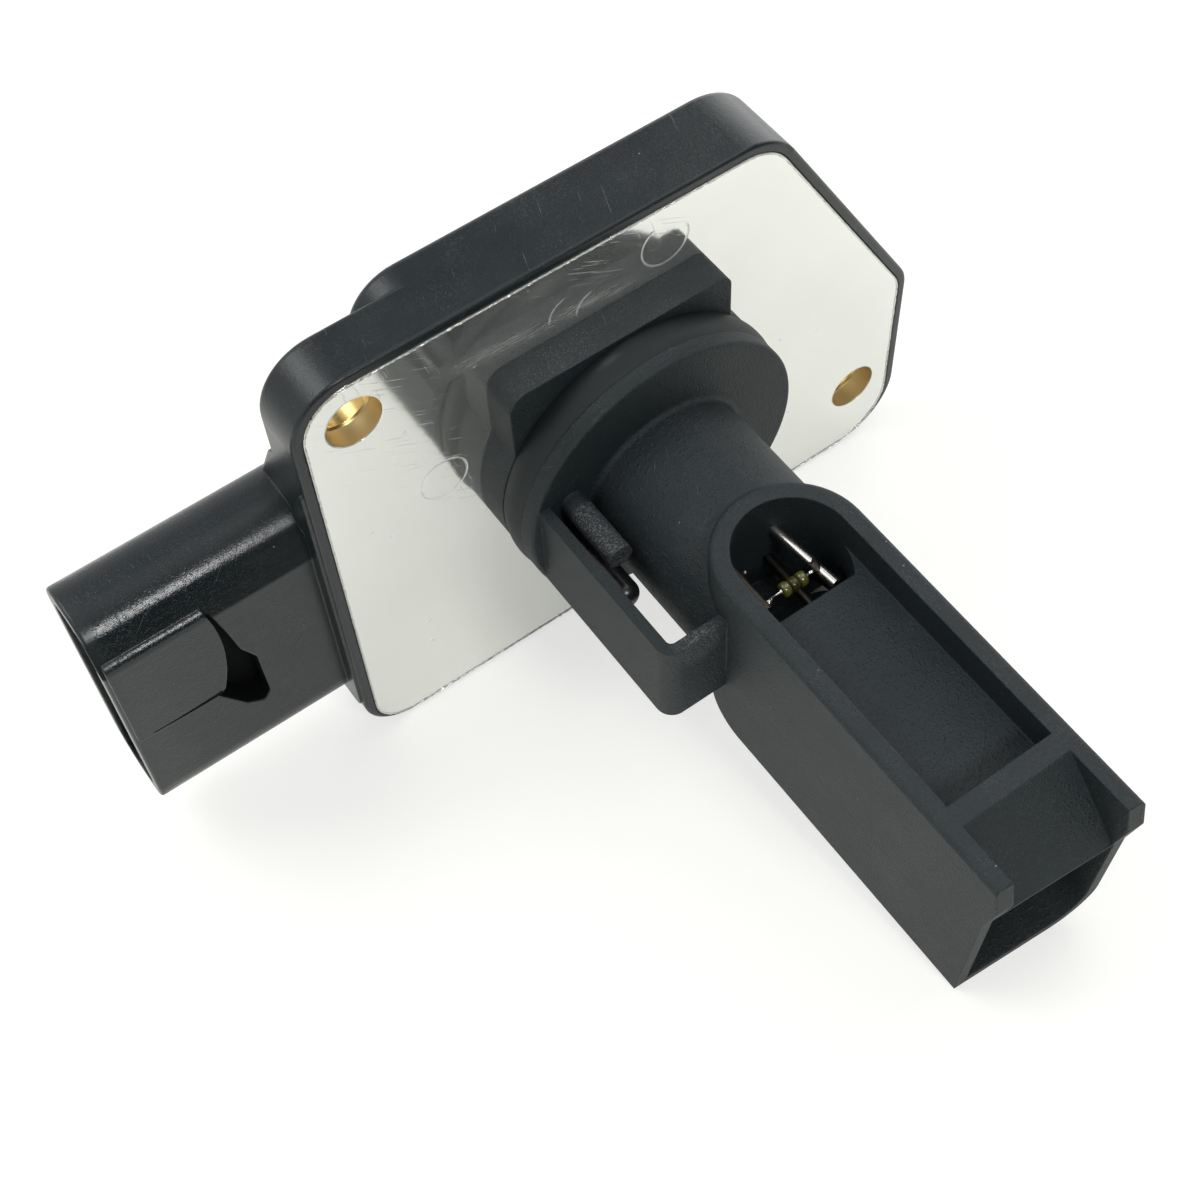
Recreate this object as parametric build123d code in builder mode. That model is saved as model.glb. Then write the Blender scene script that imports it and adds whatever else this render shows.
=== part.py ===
from build123d import *
from math import cos, radians, sin
import os

os.makedirs("parts", exist_ok=True)

# Plug-in mass airflow sensor. The origin is on the axis of the round spigot, at the outer face of
# the base plate. +Y runs from the probe towards the circuit housing, +Z is the normal of the
# probe's scoop face, and the connector points along -X.

# ---- Driving dimensions (mm) ----
plate_left, plate_right = -27.7, 33.1
plate_bottom, plate_top = -27.0, 21.5
plate_thickness = 1.9
clip_angle = 30.3           # direction of the clipped corner's normal, from +X towards +Z
clip_distance = 25.5        # distance of the clipped edge from the spigot axis

rim, sill = 1.0, 0.25       # housing wall seen round the plate, and along its lower edge
lug_depth = 5.3             # housing depth at the two fixing lugs
box_depth = 7.65            # housing depth behind the plate
tower_depth = 12.0          # top of the raised wall that the cover closes
cover_thickness = 1.3

bush_places = {"left": (-23.26, 17.18), "right": (28.67, -18.72)}
bush_bore, bush_radius = 2.51, 3.6

spigot_radius = 13.6        # the round collar that plugs into the duct
collar_back, ring_front, collar_front = 3.4, 6.26, 7.8      # depths in front of the plate
ring_seat = 11.4            # radius of the groove that the seal ring sits in
tube_radius = 7.75
tube_root = 0.5             # fillet where the tube leaves the collar

head_half = 6.6             # half width of the probe head
head_wall = 1.0
head_top, head_bottom = 8.35, -11.8
head_seam = -3.1            # where the bypass cover is welded on
head_centre = -24.8         # centre of the head's round end
head_tip = -56.2            # tip of the scoop face
scoop_half = 4.95           # half width of the scoop, and radius of the inlet bore
scoop_floor = 5.0
inlet_front = -27.8         # where the inlet bore is cut off straight by the scoop floor
channel_roof = 1.7
bypass_start = -23.4        # outer end of the bypass cover

mouth_x, shroud_root = -48.5, -28.7
shroud_y, shroud_z = (2.0, 11.0), (-22.8, 6.1)
shroud_corner, shroud_wall = 4.0, 1.5
terminal_pitch, terminal_y = 4.4, 6.5

lead_radius = 0.45          # the round pins that carry the two sensing elements
hot_wire_x, reference_x = (-3.25, 1.8), (-3.0, 1.5)
hot_wire_z, reference_z = 4.0, 0.2
element_y, reference_y = -25.2, -26.4   # where each bobbin hangs along the tube


def facing(y):
    """Plane parallel to the base plate at this y, with its normal towards the probe tip."""
    return Plane.XZ.offset(-y)


def clip_meets_side(distance, side):
    """Height at which a clipped edge this far from the axis meets the right-hand side."""
    return (distance - side * cos(radians(clip_angle))) / sin(radians(clip_angle))


def clip_meets_top(distance, top):
    """Place along X at which a clipped edge this far from the axis meets the top."""
    return (distance - top * sin(radians(clip_angle))) / cos(radians(clip_angle))


def clipped_outline(side, below, radii):
    """The plate's outline, grown by side on three sides and on the clip, and by below at the foot."""
    left, right = plate_left - side, plate_right + side
    bottom, top = plate_bottom - below, plate_top + side
    distance = clip_distance + side
    with BuildSketch() as outline:
        with BuildLine():
            FilletPolyline(
                (left, bottom),
                (right, bottom),
                (right, clip_meets_side(distance, right)),
                (clip_meets_top(distance, top), top),
                (left, top),
                radius=radii,
                close=True,
            )
        make_face()
    return outline.sketch


def rounded_box(x, z, corner):
    """Rounded rectangle between two places along X and two heights."""
    with BuildSketch() as outline:
        with Locations(((x[0] + x[1]) / 2, (z[0] + z[1]) / 2)):
            RectangleRounded(x[1] - x[0], z[1] - z[0], corner)
    return outline.sketch


# ---- Base plate: stamped aluminium, with two screw holes and the window for the probe's leads ----
plate_radii = (4.0, 5.8, 3.5, 5.0, 4.4)
window_x, window_z, window_corner = (-5.5, 5.5), (-2.5, 6.5), 1.0

with BuildPart() as base_plate:
    with BuildSketch(facing(0)):
        add(clipped_outline(0, 0, plate_radii))
        with Locations(*bush_places.values()):
            Circle(bush_bore, mode=Mode.SUBTRACT)
        add(rounded_box(window_x, window_z, window_corner), mode=Mode.SUBTRACT)
    extrude(amount=-plate_thickness)
base_plate.part.label = "base_plate"
export_step(base_plate.part, "parts/base_plate.step")


# ---- Housing: one moulding of lugs, circuit box, raised wall and connector shroud ----
housing_radii = (5.0, 6.6, 4.5, 6.0, 5.4)
lug_left, lug_right, lug_head = -19.4, 22.0, -11.0      # the box leaves the two lugs clear
neck_top, neck_bottom, neck_depth = 12.6, -22.2, 10.6   # carries the shroud behind the left side
box_roof = 1.65
cavity_left, cavity_right = -15.5, 30.4
cavity_bottom, cavity_top = -23.2, 19.3
cavity_notch = (20.0, -9.4)
cavity_clip = 23.2
tower_x, tower_z, tower_wall = (-14.0, 21.0), (-23.5, 14.5), 2.2
groove_inset, groove_width, groove_depth = 0.7, 0.8, 1.3
mouth_depth, shroud_depth = 6.9, 15.0   # to the step, and to the floor that the terminals leave
well_y = 5.4                            # behind the step the cavity starts this far back
key_rib_x, key_rib_y, key_rib_proud = -43.5, (8.2, 9.3), 0.55       # on the shroud's underside
mouth_rounding = 0.3
land_y, land_z = 1.2, (-8.8, 3.1)       # raised strip that the plug's latch rides on
land_end, land_bulge, land_rounding = -39.2, 0.55, 1.1
slit_start, slit_width, slit_depth = -46.6, 0.25, 0.8   # below the strip
catch_depth = 2.4
catch_pocket = (                        # deep pocket in the shroud's front, behind the strip's end
    (-39.6, 1.8),
    (-38.7, 1.8),
    (-37.8, -2.2),
    (-37.2, -5.5),
    (-36.1, -7.8),
    (-36.0, -13.8),
    (-36.7, -14.8),
    (-38.3, -13.7),
    (-40.4, -10.2),
    (-40.4, -8.6),
)
pad_proud = 0.25                        # thicker side wall beside the shroud
pad_outline = ((0.4, 11.9), (3.7, 5.8), (5.5, -0.3), (5.9, -2.8), (5.7, -22.4), (0.4, -22.4))
seat_gap, sill_gap, seal_depth = 0.12, 0.08, 0.4        # sealant between plate and housing
ledge_x, ledge_z, ledge_top = -8.3, (-19.0, 2.4), 2.6   # rest for the terminals' feet

with BuildSketch() as box_outline:
    with BuildLine():
        FilletPolyline(
            (lug_left, plate_bottom - sill),
            (lug_right, plate_bottom - sill),
            (lug_right, lug_head),
            (plate_right + rim, lug_head),
            (plate_right + rim, clip_meets_side(clip_distance + rim, plate_right + rim)),
            (clip_meets_top(clip_distance + rim, plate_top + rim), plate_top + rim),
            (lug_left, plate_top + rim),
            radius=(3.0, 3.0, 3.0, 2.0, 4.5, 6.0, 5.0),
            close=True,
        )
    make_face()

with BuildSketch() as cavity_outline:
    with BuildLine():
        FilletPolyline(
            (cavity_left, cavity_bottom),
            (cavity_notch[0], cavity_bottom),
            cavity_notch,
            (cavity_right, cavity_notch[1]),
            (cavity_right, clip_meets_side(cavity_clip, cavity_right)),
            (clip_meets_top(cavity_clip, cavity_top), cavity_top),
            (cavity_left, cavity_top),
            radius=2.0,
            close=True,
        )
    make_face()

with BuildSketch() as seat_outline:
    add(clipped_outline(seat_gap, sill_gap, [radius + seat_gap for radius in plate_radii]))


def shroud_outline(wall):
    """Section of the connector across X, drawn with Y across and Z up, inside a wall this thick."""
    y, z = shroud_y, shroud_z
    inner_y, inner_z = (y[0] + wall, y[1] - wall), (z[0] + wall, z[1] - wall)
    return rounded_box(inner_y, inner_z, shroud_corner - wall)


def tower_outline(inset, corner):
    """Outline of the raised wall, moved in by inset."""
    x, z = tower_x, tower_z
    return rounded_box((x[0] + inset, x[1] - inset), (z[0] + inset, z[1] - inset), corner)


def tower_ring(outer, width):
    """Ring that follows the raised wall, from outer inside its outline, this wide."""
    with BuildSketch() as ring:
        add(tower_outline(outer, 3.0 - outer))
        add(tower_outline(outer + width, 3.0 - outer - width), mode=Mode.SUBTRACT)
    return ring.sketch


# Strip along the shroud's front, with a rounded upper edge and a bulging end
with BuildPart() as latch_land:
    with BuildSketch(facing(land_y)):
        with BuildLine():
            upper = Line((mouth_x + mouth_rounding, land_z[1]), (land_end, land_z[1]))
            middle = (land_end + land_bulge, sum(land_z) / 2)
            end = ThreePointArc(upper @ 1, middle, (land_end - land_bulge, land_z[0] + 0.5))
            lower = Polyline(
                end @ 1,
                (land_end - 2 * land_bulge, land_z[0]),
                (mouth_x + mouth_rounding, land_z[0]),
                upper @ 0,
            )
        make_face()
    extrude(amount=land_y - shroud_y[0] - shroud_wall)
    front = latch_land.faces().sort_by(Axis.Y)[0].edges()
    fillet(front.filter_by(Axis.X).sort_by(Axis.Z)[-1], land_rounding)

with BuildPart() as housing:
    # Frame with the two lugs, and the circuit box behind it
    with BuildSketch(facing(0)):
        add(clipped_outline(rim, sill, housing_radii))
    extrude(amount=-lug_depth)
    fillet(housing.faces().sort_by(Axis.Y)[-1].edges(), 0.6)
    fillet(housing.faces().sort_by(Axis.Y)[0].edges(), 0.3)
    with BuildSketch(facing(plate_thickness)):
        add(box_outline.sketch)
    extrude(amount=plate_thickness - box_depth)
    fillet(housing.faces().sort_by(Axis.Y)[-1].edges(), 0.8)

    # Neck behind the left side, sloping off towards the upper lug
    with BuildSketch(Plane.YZ.offset(shroud_root)):
        with BuildLine():
            FilletPolyline(
                (1.0, neck_bottom),
                (neck_depth, neck_bottom),
                (neck_depth, 2.4),
                (lug_depth, neck_top),
                (1.0, neck_top),
                radius=(0, 4.0, 5.0, 1.5, 0),
                close=True,
            )
        make_face()
    extrude(amount=tower_x[0] - shroud_root)

    # Raised wall round the circuit, and the connector shroud that runs into it
    with BuildSketch(facing(lug_depth)):
        add(tower_outline(0, 3.0))
    extrude(amount=lug_depth - tower_depth)
    with BuildSketch(Plane.YZ.offset(mouth_x)):
        add(shroud_outline(0))
    extrude(amount=tower_x[0] - mouth_x)
    fillet(housing.faces().sort_by(Axis.X)[0].edges(), mouth_rounding)

    # Thicker side wall beside the shroud
    with BuildSketch(Plane.YZ.offset(shroud_root - pad_proud)):
        with BuildLine():
            FilletPolyline(*pad_outline, radius=(0.2, 1.0, 2.0, 2.0, 1.4, 1.0), close=True)
        make_face()
    extrude(amount=1 + pad_proud)

    # Key rib, catch pocket, the latch land in front of it and the slit below the land
    with BuildSketch(Plane.YZ.offset(mouth_x + mouth_rounding)):
        with Locations((sum(key_rib_y) / 2, shroud_z[0])):
            Rectangle(key_rib_y[1] - key_rib_y[0], 2 * key_rib_proud)
    extrude(amount=key_rib_x - mouth_x)
    with BuildSketch(facing(shroud_y[0])):
        with BuildLine():
            FilletPolyline(*catch_pocket, radius=0.35, close=True)
        make_face()
    extrude(amount=-catch_depth, mode=Mode.SUBTRACT)
    add(latch_land.part)
    with BuildSketch(facing(shroud_y[0])):
        with Locations(((slit_start + land_end - land_bulge) / 2, land_z[0] - slit_width / 2)):
            Rectangle(land_end - land_bulge - slit_start, slit_width)
    extrude(amount=-slit_depth, mode=Mode.SUBTRACT)

    # Connector mouth, and the narrower well behind it where the terminals stand
    with BuildSketch(Plane.YZ.offset(mouth_x)):
        add(shroud_outline(shroud_wall))
    extrude(amount=mouth_depth, mode=Mode.SUBTRACT)
    with BuildSketch(Plane.YZ.offset(mouth_x + mouth_depth)):
        well_z = (shroud_z[0] + shroud_wall, shroud_z[1] - shroud_wall)
        add(rounded_box((well_y, shroud_y[1] - shroud_wall), well_z, shroud_corner - shroud_wall - 0.5))
    extrude(amount=shroud_depth - mouth_depth, mode=Mode.SUBTRACT)

    # Seat for the plate, the two steps of the circuit cavity, the bush holes and the cover's groove
    with BuildSketch(facing(0)):
        add(seat_outline.sketch)
    extrude(amount=-plate_thickness, mode=Mode.SUBTRACT)
    with BuildSketch(facing(plate_thickness)):
        add(cavity_outline.sketch)
    extrude(amount=plate_thickness - box_depth + box_roof, mode=Mode.SUBTRACT)
    with BuildSketch(facing(lug_depth)):
        add(tower_outline(tower_wall, 0.8))
    extrude(amount=lug_depth - tower_depth, mode=Mode.SUBTRACT)
    with BuildSketch(facing(0)):
        with Locations(*bush_places.values()):
            Circle(bush_radius)
    extrude(amount=-lug_depth, mode=Mode.SUBTRACT)
    with BuildSketch(facing(tower_depth)):
        add(tower_ring(groove_inset, groove_width))
    extrude(amount=groove_depth, mode=Mode.SUBTRACT)

    # Ledge that holds the terminals' feet off the plate
    with BuildSketch(facing(plate_thickness)):
        with Locations(((cavity_left + ledge_x) / 2, sum(ledge_z) / 2)):
            Rectangle(ledge_x - cavity_left, ledge_z[1] - ledge_z[0])
    extrude(amount=plate_thickness - ledge_top)


# ---- Terminals: five strips that run through the housing wall and step down onto the ledge ----
terminal_count = 5
terminal_size = (0.64, 1.5)             # thickness and width
terminal_tip, terminal_knee, terminal_toe = -42.5, -10.6, -8.6
lowest_row = sum(shroud_z) / 2 - (terminal_count - 1) / 2 * terminal_pitch
terminal_rows = [lowest_row + number * terminal_pitch for number in range(terminal_count)]

terminals = []
for number, z in enumerate(terminal_rows, start=1):
    with BuildPart() as terminal:
        with BuildSketch(Plane.XY.offset(z - terminal_size[1] / 2)):
            with BuildLine():
                path = Polyline(
                    (terminal_tip, terminal_y),
                    (terminal_knee, terminal_y),
                    (terminal_knee, ledge_top + terminal_size[0] / 2),
                    (terminal_toe, ledge_top + terminal_size[0] / 2),
                )
                offset(path, amount=terminal_size[0] / 2, kind=Kind.INTERSECTION)
            make_face()
        extrude(amount=terminal_size[1])
        tip = terminal.faces().sort_by(Axis.X)[0]
        chamfer(tip.edges(), length=0.2)
    terminal.part.label = f"terminal_{number}"
    terminals.append(terminal.part)

with BuildPart() as housing_moulded:
    add(housing.part)
    for terminal in terminals:
        add(terminal, mode=Mode.SUBTRACT)
housing_moulded.part.label = "housing"
export_step(housing_moulded.part, "parts/housing.step")
for terminal in terminals:
    export_step(terminal, f"parts/{terminal.label}.step")


# ---- Plate seal: bead of black sealant in the gap round the plate ----
with BuildPart() as plate_seal:
    with BuildSketch(facing(seal_depth)):
        add(seat_outline.sketch)
        add(clipped_outline(0, 0, plate_radii), mode=Mode.SUBTRACT)
    extrude(amount=seal_depth - plate_thickness)
plate_seal.part.label = "plate_seal"
export_step(plate_seal.part, "parts/plate_seal.step")


# ---- Bushes: turned brass, pressed into the lugs behind the plate ----
bush_proud = 0.2
for side, place in bush_places.items():
    with BuildPart() as bush:
        with BuildSketch(facing(plate_thickness)):
            with Locations(place):
                Circle(bush_radius)
                Circle(bush_bore, mode=Mode.SUBTRACT)
        extrude(amount=plate_thickness - lug_depth - bush_proud)
        bores = bush.edges().filter_by(GeomType.CIRCLE).group_by(SortBy.RADIUS)[0]
        chamfer(bores, length=0.4)
    bush.part.label = f"bush_{side}"
    export_step(bush.part, f"parts/bush_{side}.step")


# ---- Cover and the bead that seals it into the raised wall's groove ----
bead_depth, tongue_play = 0.7, 0.05
panel_inset, panel_depth = 3.2, 0.35    # shallow recess in the cover's back
with BuildPart() as cover:
    with BuildSketch(facing(tower_depth)):
        add(tower_outline(0.3, 2.7))
    extrude(amount=-cover_thickness)
    fillet(cover.faces().sort_by(Axis.Y)[-1].edges(), 0.5)
    with BuildSketch(facing(tower_depth + cover_thickness)):
        add(tower_outline(panel_inset, 2.0))
    extrude(amount=panel_depth, mode=Mode.SUBTRACT)
    with BuildSketch(facing(tower_depth)):
        add(tower_ring(groove_inset + tongue_play, groove_width - 2 * tongue_play))
    extrude(amount=groove_depth - bead_depth)
cover.part.label = "cover"
export_step(cover.part, "parts/cover.step")

with BuildPart() as cover_seal:
    with BuildSketch(facing(tower_depth - groove_depth)):
        add(tower_ring(groove_inset, groove_width))
    extrude(amount=-bead_depth)
cover_seal.part.label = "cover_seal"
export_step(cover_seal.part, "parts/cover_seal.step")


# ---- Circuit: ceramic board bonded to the plate, with its chips ----
board_x, board_z, board_thickness = (-7.6, 18.6), (-22.2, -4.6), 0.7
board_top = plate_thickness + board_thickness


def on_board(label, size, height, places):
    """Chips of one kind on the board, each a block this size and height."""
    with BuildPart() as chips:
        with BuildSketch(facing(board_top)):
            with Locations(*places):
                Rectangle(*size)
        extrude(amount=-height)
        chamfer(chips.faces().sort_by(Axis.Y)[-len(places):].edges(), length=0.1)
    chips.part.label = label
    export_step(chips.part, f"parts/{label}.step")


with BuildPart() as circuit_board:
    with BuildSketch(facing(plate_thickness)):
        add(rounded_box(board_x, board_z, 0.4))
    extrude(amount=-board_thickness)
circuit_board.part.label = "circuit_board"
export_step(circuit_board.part, "parts/circuit_board.step")

on_board("control_chip", (7.2, 7.2), 1.3, [(3.0, -14.0)])
on_board("power_transistor", (4.6, 5.4), 1.5, [(13.6, -9.4)])
on_board("chip_capacitors", (2.0, 1.25), 1.0, [(11.0, -15.4 - 2.2 * row) for row in range(3)])
on_board("chip_resistors", (1.6, 0.8), 0.5, [(15.6, -15.4 - 1.6 * row) for row in range(4)])


# ---- Probe leads: six pins moulded into the probe, from the circuit to the sensing elements ----
tenon_top, lead_top = 3.1, 4.2          # leads stand proud of the tenon inside the housing
bore_back = head_centre + scoop_half    # the inlet bore's wall on the tube side
thermistor_place = (-9.6, -1.0)
thermistor_feed_x, thermistor_feed_z = -4.2, {"upper": 3.2, "lower": 0.8}
thermistor_root, thermistor_lead_gap = -11.4, {"upper": 0.35, "lower": -0.35}


def lead(label, route, radius):
    """Round pin along a route of straight runs that starts towards the probe tip."""
    with BuildPart() as pin:
        with BuildLine() as line:
            Polyline(*route)
        with BuildSketch(Plane(origin=route[0], z_dir=(0, -1, 0))):
            Circle(radius)
        sweep(path=line.line, transition=Transition.ROUND)
    pin.part.label = label
    return pin.part


def straight_lead(label, x, z, end, splay=0.0):
    """Pin from the circuit straight down the tube, bent sideways by splay inside the bore."""
    route = [(x, lead_top, z), (x, end, z)]
    if splay:
        route = [(x, lead_top, z), (x, bore_back + 0.6, z), (x + splay, end, z)]
    return lead(label, route, lead_radius)


leads = [
    straight_lead("hot_wire_lead_right", hot_wire_x[1], hot_wire_z, -27.2, 0.8),
    straight_lead("hot_wire_lead_left", hot_wire_x[0], hot_wire_z, -26.0),
    straight_lead("reference_lead_right", reference_x[1], reference_z, -27.2),
    straight_lead("reference_lead_left", reference_x[0], reference_z, -27.0),
]
for side, feed_z in thermistor_feed_z.items():
    end_z = thermistor_place[1] + thermistor_lead_gap[side]
    route = [
        (thermistor_feed_x, lead_top, feed_z),
        (thermistor_feed_x, -1.0, feed_z),
        (thermistor_place[0], -6.0, end_z),
        (thermistor_place[0], thermistor_root, end_z),
    ]
    leads.append(lead(f"thermistor_lead_{side}", route, 0.25))
for pin in leads:
    export_step(pin, f"parts/{pin.label}.step")


# ---- Bond wires: aluminium, looped from the board's edge to the terminals and the leads ----
bond_radius, bond_height = 0.12, 5.4
pad_column, pad_row = -6.8, -5.2            # pads near the board's two inner edges
terminal_top = ledge_top + terminal_size[0]
bonds = []
for z, bond_z in zip(terminal_rows, (*terminal_rows[:3], -6.9, -6.0)):
    bonds.append(((terminal_toe - 0.8, terminal_top, z), (pad_column, bond_z)))
for x, z, bond_x in (
    (hot_wire_x[1], hot_wire_z, 4.0),
    (hot_wire_x[0], hot_wire_z, -0.6),
    (reference_x[1], reference_z, 1.4),
    (reference_x[0], reference_z, -2.6),
    (thermistor_feed_x, thermistor_feed_z["upper"], -5.6),
    (thermistor_feed_x, thermistor_feed_z["lower"], -4.4),
):
    bonds.append(((x, lead_top, z), (bond_x, pad_row)))
with BuildPart() as bond_wires:
    for start, (x, z) in bonds:
        with BuildLine() as loop:
            Polyline(
                start,
                (start[0], bond_height, start[2]),
                (x, bond_height, z),
                (x, board_top, z),
            )
        with BuildSketch(Plane(origin=start, z_dir=(0, 1, 0))):
            Circle(bond_radius)
        sweep(path=loop.line, transition=Transition.ROUND)
bond_wires.part.label = "bond_wires"
export_step(bond_wires.part, "parts/bond_wires.step")


# ---- Probe body: pedestal, collar, tube, scoop head and guard bracket in one moulding ----
pedestal_x, pedestal_top, pedestal_radius = (-11.7, 10.3), 13.8, 13.5
bracket_x, bracket_z, bracket_wall, bracket_end = -12.45, (-5.4, 4.4), 1.0, -25.1
post_place, post_radius, post_end, post_hole = (-9.3, 3.4), 1.15, -14.6, 0.4
crossbar_y = (-48.4, -50.0)             # bar between the scoop and the ramp
ramp_half, lip_z = 5.1, 2.4
head_edge = 0.5                         # rounding round the scoop face
tip_skew = -0.065                       # the tip leans this much along Y for each mm along X
tip_profile = ((0.3, head_top), (-0.25, 5.6), (0.6, channel_roof), (1.2, head_bottom))
tip_clearance = 8.0
channel_half = head_half - head_wall


def head_outline(half, end):
    """Plan of the head: straight sides this far from the axis and a half-round end at the tube."""
    with BuildSketch() as outline:
        with Locations((0, (head_centre + end) / 2)):
            Rectangle(2 * half, head_centre - end)
        with Locations((0, head_centre)):
            Circle(half)
    return outline.sketch


# The tip, seen from the side: it leans back, and the two fins end in a nose below the scoop face
with BuildPart() as tip_cut:
    tip_plane = Plane(origin=(0, head_tip, 0), x_dir=(-tip_skew, 1, 0), z_dir=(1, tip_skew, 0))
    with BuildSketch(tip_plane):
        with BuildLine():
            Polyline(
                (tip_profile[0][0], head_top + 1),
                *tip_profile,
                (tip_profile[-1][0], head_bottom - 1),
                (-tip_clearance, head_bottom - 1),
                (-tip_clearance, head_top + 1),
                close=True,
            )
        make_face()
    extrude(amount=10, both=True)

with BuildPart() as probe_body:
    # Upper half of the head, with its outer edge rounded
    with BuildSketch(Plane.XY.offset(head_seam)):
        add(head_outline(head_half, head_tip - 2))
    extrude(amount=head_top - head_seam)
    top_edges = probe_body.faces().sort_by(Axis.Z)[-1].edges().sort_by(Axis.Y)[1:]
    fillet(top_edges, head_edge)
    add(tip_cut.part, mode=Mode.SUBTRACT)

    # Pedestal, ring seat and collar
    with BuildSketch(facing(0)):
        Circle(pedestal_radius)
        with BuildLine():
            FilletPolyline(
                (pedestal_x[0], 0),
                (pedestal_x[1], 0),
                (pedestal_x[1], pedestal_top),
                (pedestal_x[0], pedestal_top),
                radius=(0, 0, 1.2, 1.8),
                close=True,
            )
        make_face()
    extrude(amount=collar_back)
    with BuildSketch(facing(-collar_back)):
        Circle(ring_seat)
    extrude(amount=ring_front - collar_back)
    with BuildSketch(facing(-ring_front)):
        Circle(spigot_radius)
    extrude(amount=collar_front - ring_front)
    for depth, rounding in ((collar_front, 0.3), (ring_front, 0.15)):
        rims = probe_body.edges().filter_by(GeomType.CIRCLE)
        rims = rims.filter_by_position(Axis.Y, -depth - 0.01, -depth + 0.01)
        fillet(rims.sort_by(SortBy.RADIUS)[-1], rounding)

    # Tube, ending where the bypass cover starts below the seam and at the bracket above it
    with BuildSketch(facing(-collar_front)):
        Circle(tube_radius)
    extrude(amount=-bypass_start - collar_front)
    root = probe_body.edges().filter_by(GeomType.CIRCLE)
    root = root.filter_by_position(Axis.Y, -collar_front - 0.01, -collar_front + 0.01)
    fillet(root.sort_by(SortBy.RADIUS)[0], tube_root)
    with BuildSketch(facing(bypass_start)):
        Circle(tube_radius)
        with Locations((0, head_seam)):
            Rectangle(3 * tube_radius, 2 * tube_radius, align=(Align.CENTER, Align.MAX), mode=Mode.SUBTRACT)
    extrude(amount=bypass_start - bracket_end)

    # Tenon that fills the plate's window
    with BuildSketch(facing(0)):
        add(rounded_box(window_x, window_z, window_corner))
    extrude(amount=-tenon_top)

    # Guard bracket beside the air thermistor, and the blind post next to it
    with BuildSketch(Plane.XY.offset(bracket_z[0])):
        with BuildLine():
            FilletPolyline(
                (bracket_x, -collar_front + 0.5),
                (bracket_x, bracket_end),
                (-head_half, bracket_end),
                (-head_half, bracket_end + bracket_wall),
                (bracket_x + bracket_wall, bracket_end + bracket_wall),
                (bracket_x + bracket_wall, -collar_front + 0.5),
                radius=(0, 1.5, 0, 0, 0.5, 0),
                close=True,
            )
        make_face()
    extrude(amount=bracket_z[1] - bracket_z[0])
    with BuildSketch(facing(-collar_front + 0.5)):
        with Locations(post_place):
            Circle(post_radius)
    extrude(amount=-post_end - collar_front + 0.5)
    with BuildSketch(facing(post_end)):
        with Locations(post_place):
            Circle(post_hole)
    extrude(amount=-2.5, mode=Mode.SUBTRACT)

    # Scoop in the face, and the inlet bore that its floor cuts off straight
    with BuildSketch(Plane.XY.offset(scoop_floor)):
        add(head_outline(scoop_half, crossbar_y[0]))
    extrude(amount=head_top - scoop_floor, mode=Mode.SUBTRACT)
    with BuildSketch(Plane.XY.offset(head_seam)):
        with Locations((0, head_centre)):
            Circle(scoop_half)
        with Locations((0, inlet_front)):
            Rectangle(20, 10, align=(Align.CENTER, Align.MAX), mode=Mode.SUBTRACT)
    extrude(amount=scoop_floor - head_seam, mode=Mode.SUBTRACT)

    # Bypass channel under the scoop floor, open at the seam and at the tip
    with BuildSketch(Plane.XY.offset(head_seam)):
        with Locations((0, (inlet_front + 3 + head_tip - 2) / 2)):
            Rectangle(2 * channel_half, inlet_front + 3 - head_tip + 2)
    extrude(amount=channel_roof - head_seam, mode=Mode.SUBTRACT)

    # Ramp from the cross-bar down to the lip, between two fins
    with BuildSketch(Plane.YZ):
        with BuildLine():
            Polyline(
                (crossbar_y[1] - 0.2, head_top),
                (head_tip + 0.2, lip_z),
                (head_tip - 3, lip_z),
                (head_tip - 3, head_top + 1),
                (crossbar_y[1] - 0.2, head_top + 1),
                close=True,
            )
        make_face()
    extrude(amount=ramp_half, both=True, mode=Mode.SUBTRACT)

    for pin in leads:
        add(pin, mode=Mode.SUBTRACT)
probe_body.part.label = "probe_body"
export_step(probe_body.part, "parts/probe_body.step")


# ---- Bypass cover: trough welded under the head, open at the tip ----
cover_heel, cover_bilge = 3.8, 4.0      # outer radii at the heel and along one lower edge
with BuildPart() as bypass_cover:
    with BuildSketch(Plane.XY.offset(head_bottom)):
        with Locations((0, (bypass_start + head_tip - 2) / 2)):
            Rectangle(2 * head_half, bypass_start - head_tip + 2)
    extrude(amount=head_seam - head_bottom)
    fillet(bypass_cover.faces().sort_by(Axis.Z)[0].edges().sort_by(Axis.Y)[-1], cover_heel)
    bilge = bypass_cover.edges().filter_by(Axis.Y).sort_by(Axis.Z)[0:2].sort_by(Axis.X)[-1]
    fillet(bilge, cover_bilge)
    add(tip_cut.part, mode=Mode.SUBTRACT)
    ends = [bypass_cover.faces().sort_by(Axis.Z)[-1], bypass_cover.faces().sort_by(Axis.Y)[0]]
    offset(amount=-head_wall, openings=ends)
bypass_cover.part.label = "bypass_cover"
export_step(bypass_cover.part, "parts/bypass_cover.step")


# ---- Seal ring: rubber, with a crowned face, seated between pedestal and collar ----
ring_shoulder, ring_crown = 13.4, 13.75
with BuildPart() as seal_ring:
    with BuildSketch(Plane.YX):
        with BuildLine():
            sides = Polyline(
                (-collar_back, ring_shoulder),
                (-collar_back, ring_seat),
                (-ring_front, ring_seat),
                (-ring_front, ring_shoulder),
            )
            ThreePointArc(sides @ 0, (-(collar_back + ring_front) / 2, ring_crown), sides @ 1)
        make_face()
    revolve(axis=Axis.Y)
seal_ring.part.label = "seal_ring"
export_step(seal_ring.part, "parts/seal_ring.step")


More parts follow.
